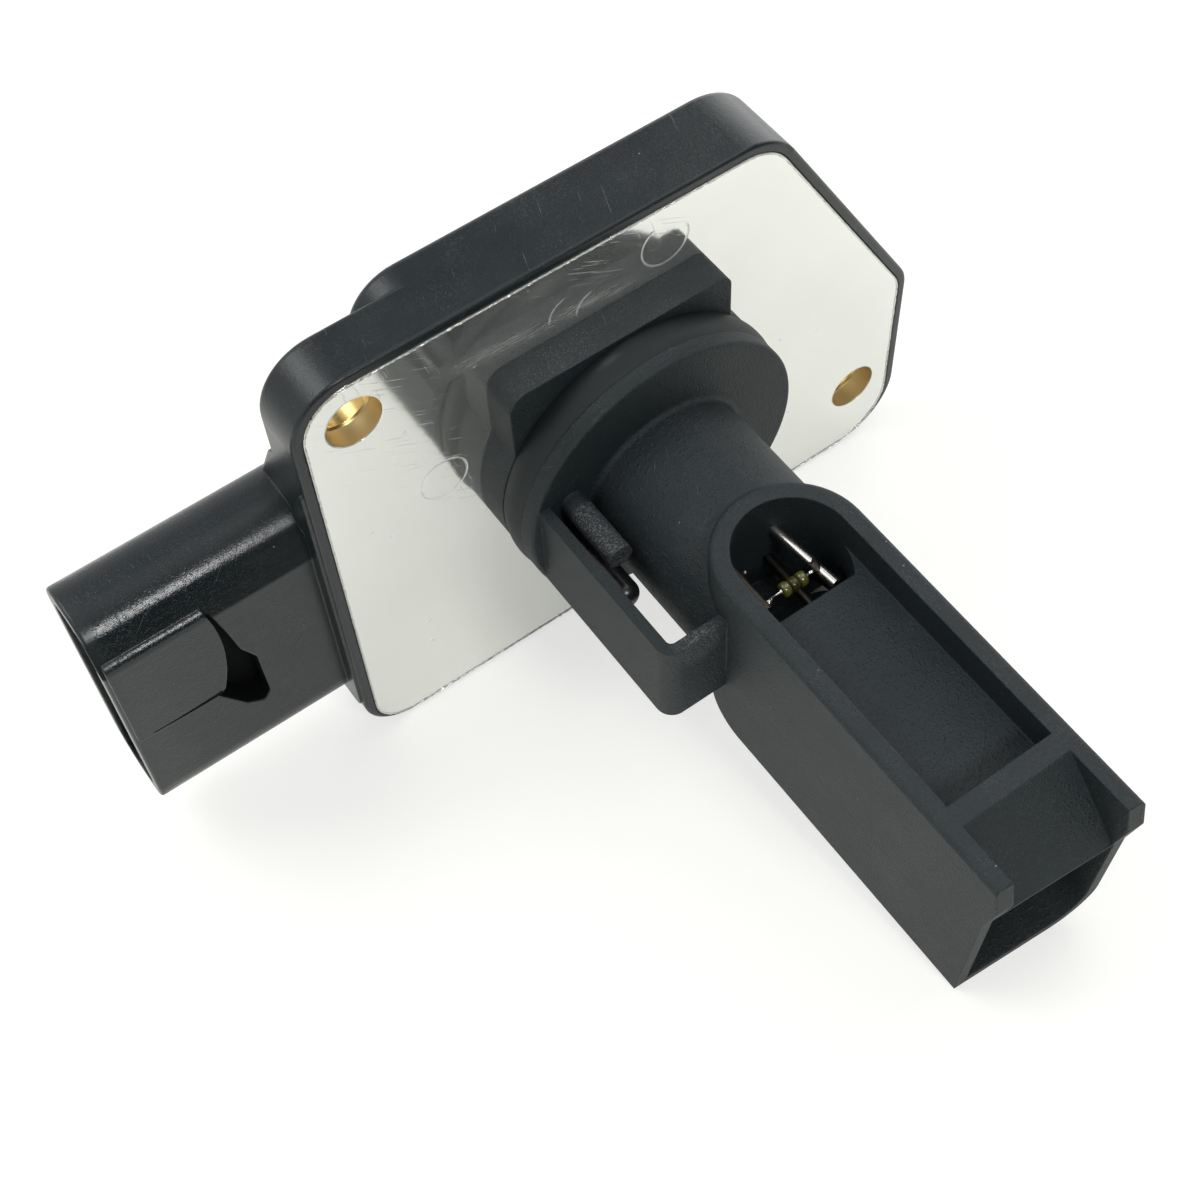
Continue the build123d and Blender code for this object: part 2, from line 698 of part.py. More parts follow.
# ---- Sensing elements: glass-coated bobbins on fine leads, welded across their pins ----
bobbin_radius, bobbin_waist, bobbin_x, wire_radius = 0.66, 0.5, (-1.2, 0.95), 0.11
bobbin_shoulder, bobbin_slope = 0.5, (0.1, 0.15)


def sensing_element(label, across, along, height, ends):
    """Bobbin with its two lead wires, lying along X between the pins of one pair."""
    left, right = bobbin_x
    waist_left = left + bobbin_shoulder
    waist_right = right - bobbin_shoulder
    with BuildPart() as element:
        with BuildSketch(Plane.XY):
            with BuildLine():
                Polyline(
                    (ends[0], 0),
                    (ends[0], wire_radius),
                    (left, wire_radius),
                    (left + bobbin_slope[0], bobbin_radius),
                    (waist_left, bobbin_radius),
                    (waist_left + bobbin_slope[1], bobbin_waist),
                    (waist_right - bobbin_slope[1], bobbin_waist),
                    (waist_right, bobbin_radius),
                    (right - bobbin_slope[0], bobbin_radius),
                    (right, wire_radius),
                    (ends[1], wire_radius),
                    (ends[1], 0),
                    close=True,
                )
            make_face()
        revolve(axis=Axis.X)
    placed = Pos(across, along, height) * element.part
    for pin in leads:
        placed = placed - pin
    placed.label = label
    export_step(placed, f"parts/{label}.step")


sensing_element("hot_wire_element", 0, element_y, hot_wire_z, (-3.0, 2.4))
sensing_element("reference_element", -0.7, reference_y, reference_z, (-2.1, 1.95))


# ---- Air thermistor: dipped bead on its two leads, standing behind the guard bracket ----
thermistor_radius, thermistor_end = 1.3, -16.4
with BuildPart() as air_thermistor:
    with BuildSketch(facing(-collar_front)):
        with Locations(thermistor_place):
            Circle(thermistor_radius)
    extrude(amount=-thermistor_end - collar_front)
    fillet(air_thermistor.faces().sort_by(Axis.Y)[0].edges(), thermistor_radius - 0.2)
    for pin in leads:
        add(pin, mode=Mode.SUBTRACT)
air_thermistor.part.label = "air_thermistor"
export_step(air_thermistor.part, "parts/air_thermistor.step")
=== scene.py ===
import math
import random

import bmesh
import bpy
from mathutils import Matrix, Vector, noise


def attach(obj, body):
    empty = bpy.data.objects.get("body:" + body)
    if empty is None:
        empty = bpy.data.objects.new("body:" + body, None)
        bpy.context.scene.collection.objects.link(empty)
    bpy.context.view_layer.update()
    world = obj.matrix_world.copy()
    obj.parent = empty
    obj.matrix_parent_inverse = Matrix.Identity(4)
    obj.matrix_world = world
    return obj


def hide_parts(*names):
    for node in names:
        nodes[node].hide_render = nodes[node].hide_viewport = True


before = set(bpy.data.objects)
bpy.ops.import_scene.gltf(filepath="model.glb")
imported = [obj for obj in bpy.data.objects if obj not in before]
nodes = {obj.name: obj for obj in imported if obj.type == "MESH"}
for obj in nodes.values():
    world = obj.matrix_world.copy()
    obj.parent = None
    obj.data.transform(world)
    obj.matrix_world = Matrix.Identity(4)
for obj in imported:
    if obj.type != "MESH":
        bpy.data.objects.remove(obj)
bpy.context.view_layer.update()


# ---------------------------------------------------------------------------
# Base plate. Stamped from sheet aluminium and left bright: it mirrors what is
# near it, softly, and carries handling scratches and the marks of its press.
# It lies in a recess of the housing, and sealant holds it there.
# ---------------------------------------------------------------------------
class Socket:
    """One output in a material's nodes. Sums and products of these add Math nodes."""

    def __init__(self, tree, output):
        self.tree, self.output = tree, output

    def add(self, kind, settings=None, sockets=None, output=0):
        """A node of this kind, whose settings are made before its sockets are filled."""
        node = self.tree.nodes.new("ShaderNode" + kind)
        for name, value in (settings or {}).items():
            setattr(node, name, value)
        for name, value in (sockets or {}).items():
            if isinstance(value, Socket):
                self.tree.links.new(value.output, node.inputs[name])
            else:
                node.inputs[name].default_value = value
        return Socket(self.tree, node.outputs[output])

    def math(self, operation, first, second):
        """Math node on numbers or sockets."""
        return self.add("Math", {"operation": operation}, {0: first, 1: second})

    def __add__(self, other):
        return self.math("ADD", self, other)

    def __radd__(self, other):
        return self.math("ADD", other, self)

    def __sub__(self, other):
        return self.math("SUBTRACT", self, other)

    def __rsub__(self, other):
        return self.math("SUBTRACT", other, self)

    def __mul__(self, other):
        return self.math("MULTIPLY", self, other)

    def __rmul__(self, other):
        return self.math("MULTIPLY", other, self)

    def __truediv__(self, other):
        return self.math("DIVIDE", self, other)

    def __rtruediv__(self, other):
        return self.math("DIVIDE", other, self)

    def __abs__(self):
        return self.math("ABSOLUTE", self, 0)

    def ramp(self, *stops):
        """Level that follows these (place, level) stops."""
        level = stops[0][1]
        for (low, start), (high, end) in zip(stops, stops[1:]):
            span = {"Value": self, "From Min": low, "From Max": high, "To Min": 0, "To Max": end - start}
            level = self.add("MapRange", {}, span) + level
        return level

    def between(self, low, high):
        """Colour that goes from low to high as this goes from 0 to 1."""
        return self.mixed((*low, 1), (*high, 1))

    def mixed(self, low, high):
        """As between, for colours that may vary themselves."""
        return self.add("Mix", {"data_type": "RGBA"}, {0: self, 6: low, 7: high}, 2)

    def bump(self, strength, depth, normal=None):
        """Normal of a skin that stands up by this height, over another normal if one is given."""
        sockets = {"Strength": strength, "Distance": depth, "Height": self}
        if normal:
            sockets["Normal"] = normal
        return self.add("Bump", {}, sockets)

    def vector_math(self, operation, other, output="Vector"):
        """Vector Math node on this and another vector."""
        return self.add("VectorMath", {"operation": operation}, {0: self, 1: other}, output)

    def dot(self, direction):
        """Length of these coordinates along a direction."""
        return self.vector_math("DOT_PRODUCT", direction, "Value")

    def stretched(self, scale, turn=(0, 0, 0)):
        """These coordinates turned and then stretched."""
        turned = self.add("Mapping", {}, {"Vector": self, "Rotation": turn})
        return turned.add("Mapping", {}, {"Vector": turned, "Scale": scale})

    def noise(self, scale, detail=2.0, roughness=0.5):
        """Fractal noise from 0 to 1, with features of about 1/scale metres."""
        sockets = {"Vector": self, "Scale": scale, "Detail": detail, "Roughness": roughness}
        return self.add("TexNoise", {}, sockets)

    def speckle(self, scale, size):
        """Small round dots, 1 inside and 0 outside, with this many to a metre."""
        cells = self.add("TexVoronoi", {}, {"Vector": self, "Scale": scale})
        return cells.ramp((size, 1), (size * 1.4, 0))

    def offset(self, centre):
        """These coordinates on the XZ plane, counted from a centre."""
        return self.vector_math("MULTIPLY", (1, 0, 1)).vector_math("SUBTRACT", (centre[0], 0, centre[1]))

    def ring(self, centre, radius, width):
        """Line round a centre on the XZ plane, gone at this width to either side."""
        away = self.offset(centre).vector_math("LENGTH", (0, 0, 0), "Value")
        return abs(away - radius).ramp((width * 0.5, 1), (width, 0))

    def arc(self, centre, radius, width, side, reach):
        """Such a ring, kept only towards one side: reach is -1 for all of it and 1 for none."""
        towards = self.offset(centre).dot((side[0], 0, side[1])) / radius
        return self.ring(centre, radius, width) * towards.ramp((reach, 0), (reach + 0.25, 1))

    def spot(self, centre, reach):
        """Round patch on the XZ plane, gone at this distance from its centre."""
        return self.ring(centre, 0, reach)


def new_finish(name):
    """Material with its Principled shader, and its object coordinates in metres."""
    finish = bpy.data.materials.new(name)
    finish.use_nodes = True
    shader = finish.node_tree.nodes["Principled BSDF"]
    return finish, shader, Socket(finish.node_tree, None).add("TexCoord", output="Object")


def set_sockets(place, shader, values):
    """Numbers go on the shader's own sockets, and what varies is linked to them."""
    for name, value in values.items():
        if isinstance(value, Socket):
            place.tree.links.new(value.output, shader.inputs[name])
        else:
            shader.inputs[name].default_value = value


def dress(finish, *parts):
    """Puts this finish on the solids of these names."""
    for part in parts:
        nodes[part].material_slots[0].material = finish


def rounded_edges(place, radius):
    """Normal that rounds every edge by this radius, and how much of an edge is here."""
    bent = place.add("Bevel", {"samples": 6}, {"Radius": radius})
    flat = place.add("NewGeometry", output="Normal")
    return bent, 1 - bent.dot(flat)


# Places on the plate's face, as X and Z
full_ring, full_ring_radius = (-0.0167, 0.0042), 0.0022
upper_ring, upper_ring_radius = (0.0061, 0.0174), 0.0023
half_rings, half_ring_radius = ((-0.0035, 0.0157), (-0.0009, 0.0148)), 0.0018
stamp_width = 0.00014
pits, pit_reach = ((-0.0240, 0.0026), (-0.0224, 0.0006), (-0.0206, -0.0146), (-0.0208, -0.0179)), 0.00022
screw_holes, stain_reach = ((-0.02326, 0.01718), (0.02867, -0.01872)), 0.0056

finish, shader, place = new_finish("bright_plate")
bent = rounded_edges(place, 0.0003)[0]
cloudy = place.noise(95, 4, 0.6)
rubbed = place.stretched((70, 70, 2600), (0, 0.6, 0)).noise(1.0, 3)
hair = place.stretched((160, 160, 6500), (0, -0.5, 0)).noise(1.0, 4, 0.6).ramp((0.63, 0), (0.68, 1))
cross = place.stretched((5600, 200, 260), (0, 0.25, 0)).noise(1.0, 3, 0.6).ramp((0.63, 0), (0.69, 1))
scratches = hair * 0.7 + cross * place.noise(130, 2).ramp((0.45, 0), (0.6, 1)) * 0.5
dust = place.noise(6200, 2, 0.7).ramp((0.62, 0), (0.72, 1))
dust = dust * place.noise(160, 2).ramp((0.42, 0), (0.6, 1))

# Ring marks of the press, most of them struck on one side only, and a few pits
stamped = place.ring(full_ring, full_ring_radius, stamp_width)
stamped = stamped * place.noise(400, 2).ramp((0.35, 0.3), (0.55, 1))
stamped = stamped + place.arc(upper_ring, upper_ring_radius, stamp_width, (-0.3, -0.95), -0.7)
for centre in half_rings:
    stamped = stamped + place.arc(centre, half_ring_radius, stamp_width, (-0.76, 0.65), 0.62)
specks = place.speckle(330, 0.05) * place.noise(90, 2).ramp((0.5, 0), (0.58, 1))
for centre in pits:
    specks = specks + place.spot(centre, pit_reach)

# Band rubbed by the edge of an assembly tool, beside the pedestal
across = abs(place.dot((0.09, 0, 1)) - 0.0153).ramp((0.0003, 1), (0.0012, 0))
along = abs(place.dot((1, 0, 0)) + 0.0055).ramp((0.006, 1), (0.0115, 0))
grooves = place.stretched((260, 260, 9500)).noise(1.0, 3, 0.6).ramp((0.42, 0), (0.62, 1))
band = across * along * grooves

# The sheared wall of each hole is duller than the faces, and coloured like brass near the holes
wall = 1 - abs(place.add("NewGeometry", output="Normal").dot((0, 1, 0))).ramp((0.3, 0), (0.7, 1))
wall = wall * (place.spot(screw_holes[0], stain_reach) + place.spot(screw_holes[1], stain_reach))

sunk = scratches + stamped * 2.5 + specks * 2.0 + band * 2.0
height = rubbed * 0.35 - sunk + place.noise(1100, 3) * 0.3
bright = (cloudy * 0.7 - specks * 0.9 - band * 0.5).between((0.80, 0.812, 0.78), (0.92, 0.935, 0.90))
gloss = 0.06 + cloudy * 0.07 + scratches * 0.18 + stamped * 0.25 + band * 0.3 + wall * 0.35
set_sockets(place, shader, {
    "Base Color": wall.mixed(bright, (0.54, 0.44, 0.24, 1)),
    "Metallic": 0.92 - wall * 0.2 - stamped * 0.3 - specks * 0.4 - band * 0.2 - dust * 0.22,
    "Roughness": gloss,
    "Normal": height.bump(0.36, 0.00002, bent),
})
bright_plate = finish
dress(bright_plate, "base_plate")


# ---------------------------------------------------------------------------
# Plate seal. A bead of black silicone pressed out round the plate, so that its
# edge is ragged and stands up in small dots. Beside it the plate's own edge has
# the burr that the press threw up.
# ---------------------------------------------------------------------------
def new_piece(name, form, finish, smooth=True):
    """Object made from this form, riding with the sensor."""
    bmesh.ops.recalc_face_normals(form, faces=form.faces)
    mesh = bpy.data.meshes.new(name)
    form.to_mesh(mesh)
    form.free()
    for face in mesh.polygons:
        face.use_smooth = smooth
    mesh.materials.append(finish)
    piece = bpy.data.objects.new(name, mesh)
    bpy.context.scene.collection.objects.link(piece)
    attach(piece, "root")
    return piece


def lump(form, centre, half, uneven=0.25, detail=1):
    """Drop of set material: a ball pressed to these half sizes, with an uneven skin."""
    centre, half = Vector(centre), Vector(half)
    for vertex in bmesh.ops.create_icosphere(form, subdivisions=detail, radius=1)["verts"]:
        swell = 1 + uneven * noise.noise(vertex.co * 1.6 + centre * 900)
        vertex.co = centre + vertex.co * half * swell


def bar(form, rows):
    """Closed bar through these rows of corners, each row a section of it."""
    for near, far in zip(rows, rows[1:]):
        for k in range(len(near)):
            form.faces.new((near[k - 1], near[k], far[k], far[k - 1]))
    form.faces.new(rows[0])
    form.faces.new(rows[-1])


def plate_outline(plate, front_limit=0.00001):
    """Both ends of each edge round the plate's front face, without its holes."""
    fronts = {}
    for face in plate.polygons:
        for key in face.edge_keys:
            fronts[key] = fronts.get(key, 0) + (face.normal.y < -0.9)
    rims = [
        edge for edge in plate.edges
        if fronts.get(edge.key) == 1 and all(plate.vertices[i].co.y < front_limit for i in edge.vertices)
    ]
    # Edges that meet may have a vertex each there, so they are joined by where they end, in microns
    spot_of = {i: tuple(round(c * 1e6) for c in plate.vertices[i].co) for e in rims for i in e.vertices}
    runs = {spot: {spot} for spot in spot_of.values()}
    for edge in rims:
        first, second = (runs[spot_of[i]] for i in edge.vertices)
        if first is not second:
            first |= second
            for spot in second:
                runs[spot] = first
    widest = max(runs.values(), key=lambda run: max(s[0] for s in run) - min(s[0] for s in run))
    outline = {}
    for edge in rims:
        spots = sorted(spot_of[i] for i in edge.vertices)
        if spots[0] in widest:
            outline[tuple(spots)] = tuple(plate.vertices[i].co.copy() for i in edge.vertices)
    return outline.values()


finish, shader, place = new_finish("black_sealant")
lumps = place.noise(1400, 3)
set_sockets(place, shader, {
    "Base Color": lumps.between((0.006, 0.006, 0.007), (0.016, 0.016, 0.017)),
    "Roughness": 0.35 + lumps * 0.25,
    "Normal": lumps.bump(0.8, 0.00006),
})
dress(finish, "plate_seal")

draw = random.Random(4)
seal_face, bead_step, bare_share = 0.00041, 0.00042, 0.45
bead_reach, bead_level = (0.00005, 0.00013), (0.00012, 0.00034)
form = bmesh.new()
seal = nodes["plate_seal"].data
for edge in seal.edges:
    start, end = (seal.vertices[i].co for i in edge.vertices)
    if max(start.y, end.y) > seal_face:
        continue
    count = int((end - start).length / bead_step)
    for i in range(count):
        if draw.random() < bare_share:
            continue
        at = start.lerp(end, (i + draw.random()) / count)
        reach = draw.uniform(*bead_reach)
        lump(form, (at.x, draw.uniform(*bead_level), at.z), (reach, reach * 1.3, reach), 0.5)
new_piece("sealant_beads", form, finish)

burr_step, burr_rise, burr_width, burr_root = 0.00016, 0.00012, 0.00016, 0.00001
plate_middle = Vector((0.003, 0, -0.003))
form = bmesh.new()
for start, end in plate_outline(nodes["base_plate"].data):
    out = (end - start).normalized().cross(Vector((0, 1, 0)))
    if out.dot((start + end) / 2 - plate_middle) < 0:
        out = -out
    count = max(1, int((end - start).length / burr_step))
    rows = []
    for i in range(count + 1):
        at = start.lerp(end, i / count)
        rise = burr_rise + 0.00009 * noise.noise(at * 2600) + 0.00005 * noise.noise(at * 9000)
        width = burr_width + 0.00006 * noise.noise(at * 3100 + Vector((3, 3, 3)))
        corners = (
            (width + 0.00002, burr_root),
            (width * 0.7, -max(rise, burr_root)),
            (burr_root, burr_root),
        )
        rows.append([form.verts.new(at - out * inset + Vector((0, y, 0))) for inset, y in corners])
    bar(form, rows)
new_piece("plate_burr", form, bright_plate, smooth=False)


# ---------------------------------------------------------------------------
# Housing. One glass-filled black moulding of lugs, circuit box, raised wall
# and connector shroud, satin from its mould and scuffed along its edges. Its
# cover is the same plastic.
# ---------------------------------------------------------------------------
def black_moulding(
    place, shader, bent, edge, gloss, shine, grain, dark, light,
    even=1.0, flat_corner_and_shade=0.0, mouth=0.0, handled=0.0, post=0.0,
):
    """Glass-filled black plastic: fibres near the surface, flow marks, rubbed edges, dust.

    even thins out the grain. The last four are 1 on a flattened corner, painted darker as
    shade, on a mouth that plugs have polished, where hands have left a film, and on a post thick with
    dust.
    """
    flow = place.noise(160, 4, 0.55)
    fibres = place.noise(7500, 2, 0.7)
    swirls = place.noise(420, 3, 0.6)
    pimples = place.noise(3600, 1, 0.5).ramp((0.55, 0), (0.72, 1))
    worn = edge.ramp((0.02, 0), (0.25, 1)) * place.noise(700, 3).ramp((0.45, 0), (0.7, 1))
    scores = place.stretched((140, 140, 4600), (0.3, 0.7, 0)).noise(1.0, 3, 0.6)
    scores = scores.ramp((0.69, 0), (0.74, 1))
    height = (fibres * 1.4 + pimples) * grain * even + swirls * 0.8 + flow * 1.4 - scores * 0.8

    upward = place.add("NewGeometry", output="Normal").dot((0, 0, 1)).ramp((0.1, 0), (0.9, 1))
    dust = place.speckle(560, 0.035) * place.noise(260, 1).ramp((0.56, 0), (0.62, 1))
    film = place.noise(8200, 2, 0.75).ramp((0.54, 0), (0.72, 1))
    film = film * place.noise(230, 3).ramp((0.4, 0), (0.7, 1)) * (0.25 + upward * 0.75)
    settled = dust * 0.8 + film * 0.3 + film * handled * 0.6 + upward * handled * 0.09
    settled = settled + scores * 0.2 + place.noise(6500, 2, 0.7).ramp((0.47, 0), (0.68, 1)) * post * 0.6

    tone = flow * 0.5 + fibres * 0.3 + pimples * grain * 0.25 + worn * 1.6 + scores * 0.6
    # On the flattened corner the colour is painted near its darkest, as shade
    tone = tone * (1 - flat_corner_and_shade * 0.9)
    polish = worn * 0.06 + mouth * 0.15
    set_sockets(place, shader, {
        "Base Color": settled.mixed(tone.between(dark, light), (0.20, 0.205, 0.21, 1)),
        "Roughness": gloss + flow * 0.12 + fibres * 0.1 - polish + settled * 0.2,
        "Specular IOR Level": shine,
        "Normal": height.bump(0.75, 0.00005, bent),
    })


edge_radius = 0.00025
finish, shader, place = new_finish("housing_black")
bent, edge = rounded_edges(place, edge_radius)

# Metres towards the connector's mouth, in from the plate's face, and up
out, depth, level = place.dot((-1, 0, 0)), place.dot((0, 1, 0)), place.dot((0, 0, 1))

# The shroud's upper front corner is flatter than the round one of its solid, and its colour is painted
# darker there as shade
flat_corner_and_shade = level.ramp((0.0006, 0), (0.001, 1), (0.0043, 1), (0.005, 0))
flat_corner_and_shade = flat_corner_and_shade * depth.ramp((0.0019, 0), (0.00198, 1), (0.0046, 1), (0.0052, 0))
flat_corner_and_shade = flat_corner_and_shade * out.ramp((0.0287, 0), (0.0290, 1))
facet_normal = (0, -0.85, 0.53)
bent = place.add("Mix", {"data_type": "VECTOR"}, {0: flat_corner_and_shade, 4: bent, 5: facet_normal}, 1)
mouth = out.ramp((0.0295, 0), (0.036, 0.4), (0.0466, 1), (0.0478, 0))
black_moulding(
    place, shader, bent, edge, 0.2, 0.45, 0.45, (0.0034, 0.0076, 0.0092), (0.0100, 0.0168, 0.0195),
    even=0.35 + mouth * 0.35, flat_corner_and_shade=flat_corner_and_shade, mouth=mouth,
)

# The catch pocket is painted dark as shade, from just under the shroud's face to its floor
pocket_middle, pocket_half = -0.0072, 0.0078
pocket_shade = depth.ramp((0.00204, 0), (0.0023, 1), (0.0062, 1), (0.0066, 0))
pocket_shade = pocket_shade * abs(level - pocket_middle).ramp((pocket_half, 1), (pocket_half + 0.0004, 0))
pocket_shade = pocket_shade * out.ramp((0.031, 0), (0.0312, 1), (0.0425, 1), (0.043, 0))
pocket_shade_finish = {"Base Color": (0.0025, 0.003, 0.0035, 1), "Roughness": 0.8, "Specular IOR Level": 0.12}
plastic = Socket(place.tree, shader.outputs[0])
mixed = place.add("MixShader", {}, {0: pocket_shade, 1: plastic, 2: place.add("BsdfPrincipled", {}, pocket_shade_finish)})
place.tree.links.new(mixed.output, place.tree.nodes["Material Output"].inputs[0])
dress(finish, "housing", "cover")

# A dark strip of painted shade along the lower edge of the latch land, wider towards the catch pocket
slit_left, slit_right, slit_low, slit_rows = -0.0468, -0.0401, -0.00882, 24
slit_front, slit_back = 0.00118, 0.0014
finish, shader, place = new_finish("slit_painted_shade")
set_sockets(place, shader, {
    "Base Color": place.noise(3000, 3).between((0.001, 0.001, 0.0012), (0.006, 0.006, 0.007)),
    "Roughness": 0.9,
    "Specular IOR Level": 0.08,
})
form = bmesh.new()
rows = []
for i in range(slit_rows + 1):
    t = i / slit_rows
    x = slit_left + (slit_right - slit_left) * t
    width = 0.00008 + 0.00036 * t ** 1.3 + 0.00003 * noise.noise(Vector((x * 3000, 1, 2)))
    low = slit_low + 0.00022 * (1 - t) ** 2
    corners = ((slit_front, low + width), (slit_back, low + width), (slit_back, low), (slit_front, low))
    rows.append([form.verts.new((x, y, z)) for y, z in corners])
bar(form, rows)
new_piece("slit_painted_shade", form, finish, smooth=False)


# ---------------------------------------------------------------------------
# Probe body and bypass cover. The same plastic from a spark-eroded mould, so
# it is more matt and has a fine even grain. The cover is welded under the head.
# Dust lies on the stretch by the plate and on the post over the thermistor.
# ---------------------------------------------------------------------------
post_centre, post_reach, post_foot = (-0.0093, 0.0034), 0.0026, 0.009

finish, shader, place = new_finish("probe_black")
bent, edge = rounded_edges(place, edge_radius)
handled = (0.02 + place.dot((0, 1, 0))).ramp((0.0125, 0), (0.015, 1))
post = place.dot((0, -1, 0)).ramp((post_foot, 0), (post_foot + 0.0003, 1))
black_moulding(
    place, shader, bent, edge, 0.46, 0.42, 1.3, (0.0038, 0.0085, 0.0105), (0.0125, 0.0205, 0.0235),
    handled=handled, post=post * place.spot(post_centre, post_reach),
)
dress(finish, "probe_body", "bypass_cover")


# ---------------------------------------------------------------------------
# Seal ring. Moulded from nitrile rubber, with a thin film of dust. It lies in
# the groove between the pedestal and the collar, and the duct's bore presses it.
# ---------------------------------------------------------------------------
finish, shader, place = new_finish("seal_rubber")
film = place.noise(300, 4)
set_sockets(place, shader, {
    "Base Color": film.between((0.004, 0.0075, 0.009), (0.009, 0.013, 0.015)),
    "Roughness": 0.46 + film * 0.2,
    "Specular IOR Level": 0.4,
    "Normal": place.noise(1500, 3).bump(0.4, 0.00002),
})
dress(finish, "seal_ring")


# ---------------------------------------------------------------------------
# Screw bushes. Turned brass, with the tool's rings inside the bore. Each stands
# in a lug of the housing, so that its screw doesn't crush the plastic.
# ---------------------------------------------------------------------------
finish, shader, place = new_finish("turned_brass")
rings = place.stretched((30, 9000, 30)).noise(1.0, 2)
stain = place.noise(500, 3)
set_sockets(place, shader, {
    "Base Color": stain.between((0.62, 0.42, 0.13), (0.80, 0.60, 0.27)),
    "Metallic": 1.0,
    "Roughness": 0.18 + stain * 0.18,
    "Normal": rings.bump(0.5, 0.00002),
})
dress(finish, "bush_left", "bush_right")


# ---------------------------------------------------------------------------
# Leads and terminals. Tinned wire and strip, run through the plastic to the
# circuit. The reference pair, the thermistor's pair and the hot wire's left pin
# are darker. On the reference pair and the left pin, which lie in shadow, that dark is painted shade.
# ---------------------------------------------------------------------------
# Leads that get the dark wire finish; on the reference leads and the hot wire's left pin it is painted
# shade
darkened = [n for n in nodes if n.startswith(("reference_lead", "thermistor_lead", "hot_wire_lead_left"))]
tinned = [n for n in nodes if n not in darkened and ("lead" in n or "terminal" in n or n == "bond_wires")]

tinned_wire, shader, place = new_finish("tinned_wire")
dull = place.noise(900, 3)
set_sockets(place, shader, {
    "Base Color": dull.between((0.55, 0.53, 0.49), (0.82, 0.80, 0.76)),
    "Metallic": 1.0,
    "Roughness": 0.14 + dull * 0.25,
    "Normal": place.noise(4000, 2).bump(0.3, 0.00001),
})
dress(tinned_wire, *tinned)

# Dark wire: the right pin's weld has this colour of its own, and on the reference leads and the left pin
# it is painted shade
tarnish_and_shade_wire, shader, place = new_finish("tarnish_and_shade_wire")
dull = place.noise(900, 3)
set_sockets(place, shader, {
    "Base Color": dull.between((0.02, 0.018, 0.016), (0.11, 0.10, 0.085)),
    "Metallic": 1.0,
    "Roughness": 0.35 + dull * 0.25,
})
dress(tarnish_and_shade_wire, *darkened)


# ---------------------------------------------------------------------------
# Sensing elements. A wire winding on a ceramic bobbin under a yellow-green
# glass glaze, in three turns of glaze with dark grooves between them. Its fine
# leads are welded across the two pins, which are flattened by the weld.
# ---------------------------------------------------------------------------
def turned(form, profile, centre, sides=28):
    """Body of revolution about X, through (distance along X, radius) pairs."""
    axis = Vector((1, 0, 0))
    side = axis.orthogonal().normalized()
    turns = [Matrix.Rotation(math.tau * i / sides, 3, axis) @ side for i in range(sides)]
    rings = []
    for along, radius in profile:
        middle = Vector(centre) + axis * along
        rings.append([form.verts.new(middle + turn * radius) for turn in turns])
    bar(form, rings)


def barrel(left, right, radius, rounding=0.00018, rows=10):
    """Profile of one turn of glaze between two places, bulging in the middle."""
    steps = [i / rows for i in range(rows + 1)]
    bulge = [(4 * t * (1 - t)) ** 0.4 for t in steps]
    return [(left + (right - left) * t, radius - rounding * (1 - b)) for t, b in zip(steps, bulge)]


glaze, shader, place = new_finish("glass_glaze")
turns = place.stretched((5200, 300, 300)).noise(1.0, 1)
set_sockets(place, shader, {
    "Base Color": turns.between((0.012, 0.012, 0.002), (0.15, 0.145, 0.03)),
    "Roughness": 0.1 + turns * 0.1,
    "Coat Weight": 1.0 - turns * 0.2,
    "Normal": (turns + place.noise(2300, 1)).bump(0.7, 0.00005),
})
dark_glaze, shader, place = new_finish("dark_glaze")
runs = place.noise(2500, 2)
set_sockets(place, shader, {
    "Base Color": runs.between((0.008, 0.008, 0.002), (0.06, 0.056, 0.014)),
    "Roughness": 0.1 + runs * 0.12,
    "Normal": runs.bump(0.7, 0.00005),
})

# Along each bobbin: two outer turns, the dark middle one, the core that joins them, the caps
outer_turns, outer_radius = ((-0.00132, -0.00056), (0.00032, 0.00108)), 0.00066
middle_turn, middle_radius = (-0.00050, 0.00026), 0.00065
core_ends, core_radius = (-0.00112, 0.00088), 0.00034
cap_radius, neck_radius, wire_radius = 0.0003, 0.00011, 0.0001
for element, centre, (left_end, right_end) in (
    ("hot_wire", (0, -0.0252, 0.0040), (-0.0028, 0.0022)),
    ("reference", (-0.0007, -0.0264, 0.0002), (-0.0019, 0.00175)),
):
    form = bmesh.new()
    for left, right in outer_turns:
        turned(form, barrel(left, right, outer_radius), centre)
    beads = new_piece(f"{element}_glaze", form, glaze)
    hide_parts(f"{element}_element")
    form = bmesh.new()
    turned(form, barrel(*middle_turn, middle_radius), centre)
    turned(form, [(end, core_radius) for end in core_ends], centre)
    new_piece(f"{element}_core", form, dark_glaze)
    form = bmesh.new()
    for cap in (
        [(left_end, wire_radius), (-0.0015, neck_radius), (-0.00128, cap_radius), (-0.0012, cap_radius)],
        [(0.00096, cap_radius), (0.00104, cap_radius), (0.0013, neck_radius), (right_end, wire_radius)],
    ):
        turned(form, cap, centre, sides=14)
    new_piece(f"{element}_caps", form, tinned_wire)

# Welds: the flattened head of the right pin, then drops on the left pin and the fine leads
form = bmesh.new()
lump(form, (0.00225, -0.0250, 0.00422), (0.00052, 0.00072, 0.00036), 0.3, 3)
new_piece("weld_right", form, tarnish_and_shade_wire)
form = bmesh.new()
lump(form, (-0.00273, -0.0254, 0.0041), (0.0003, 0.00026, 0.00022), 0.5, 3)
lump(form, (-0.00255, -0.0221, 0.0041), (0.00018, 0.00018, 0.00018), 0.3, 3)
lump(form, (0.00172, -0.0252, 0.0041), (0.0003, 0.00017, 0.00015), 0.4, 3)
new_piece("weld_left", form, tinned_wire)


